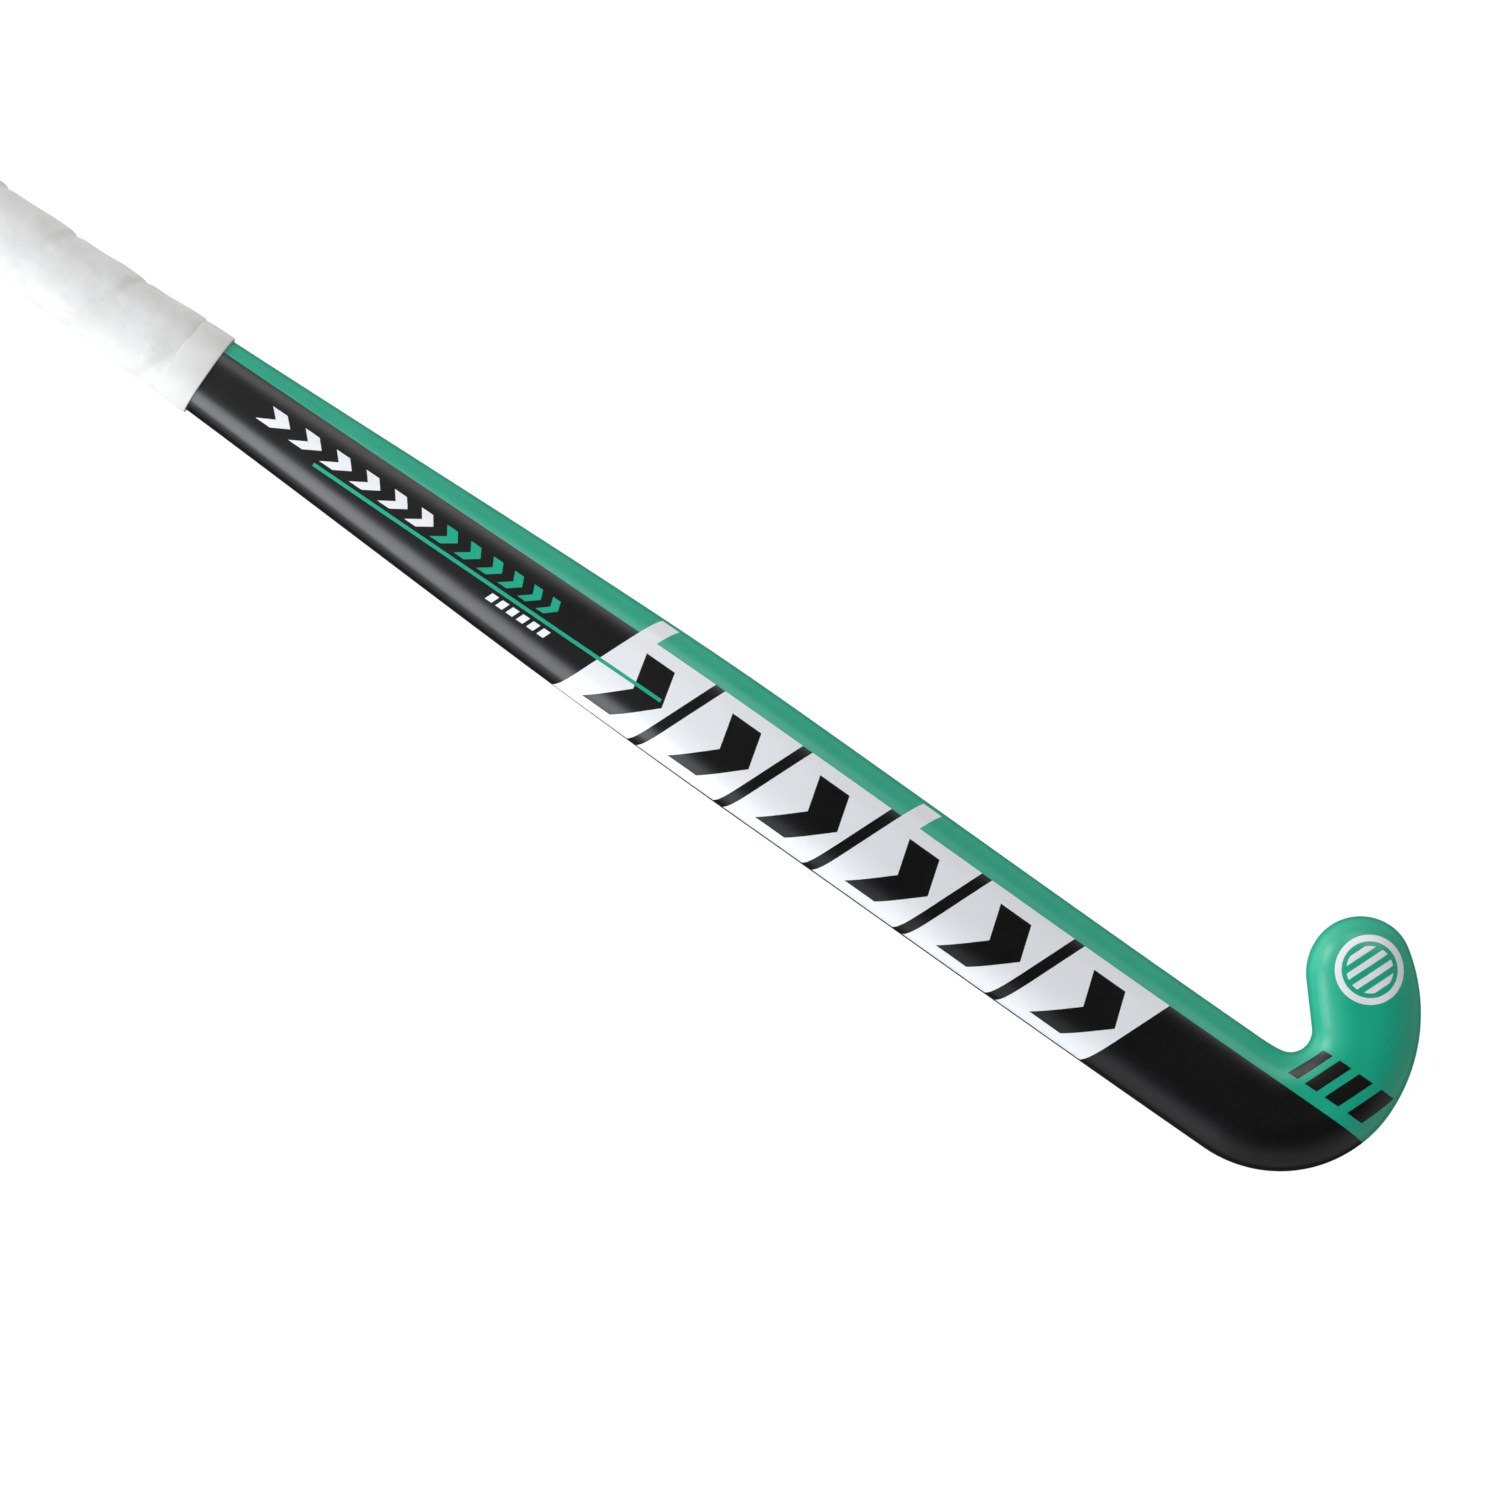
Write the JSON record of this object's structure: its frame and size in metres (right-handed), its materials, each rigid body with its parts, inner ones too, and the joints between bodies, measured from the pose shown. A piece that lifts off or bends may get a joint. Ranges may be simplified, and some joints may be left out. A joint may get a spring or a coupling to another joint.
{
  "type": "indoor hockey stick",
  "caption": "Slim composite indoor field hockey stick with a bowed oval-to-flat shaft, short hooked head, hollow twin-tube core and wrapped handle grip.",
  "frame": {"origin": "on the floor under the middle of the stick's box, with the stick lying on its flat playing face", "axes": "+X from the butt to the head along the shaft, +Y towards the toe side, +Z out of the rounded back"},
  "size_m": [0.927, 0.111, 0.04],
  "materials": {
    "painted_laminate": "satin",
    "carbon_laminate": "satin",
    "head_filler": "matte",
    "aramid_band": "matte",
    "handle_foam": "matte",
    "plug_rubber": "matte",
    "grip_white": "matte",
    "finishing_tape": "satin"
  },
  "bodies": {
    "root": {"outer_skin": "painted_laminate", "toe_side_tube": "carbon_laminate", "heel_side_tube": "carbon_laminate", "back_strip": "carbon_laminate", "face_strip": "carbon_laminate", "head_core": "head_filler", "edge_band": "aramid_band", "toe_side_foam": "handle_foam", "heel_side_foam": "handle_foam", "butt_plug": "plug_rubber", "grip_tape": "grip_white", "finishing_tape": "finishing_tape"}
  },
  "joints": []
}
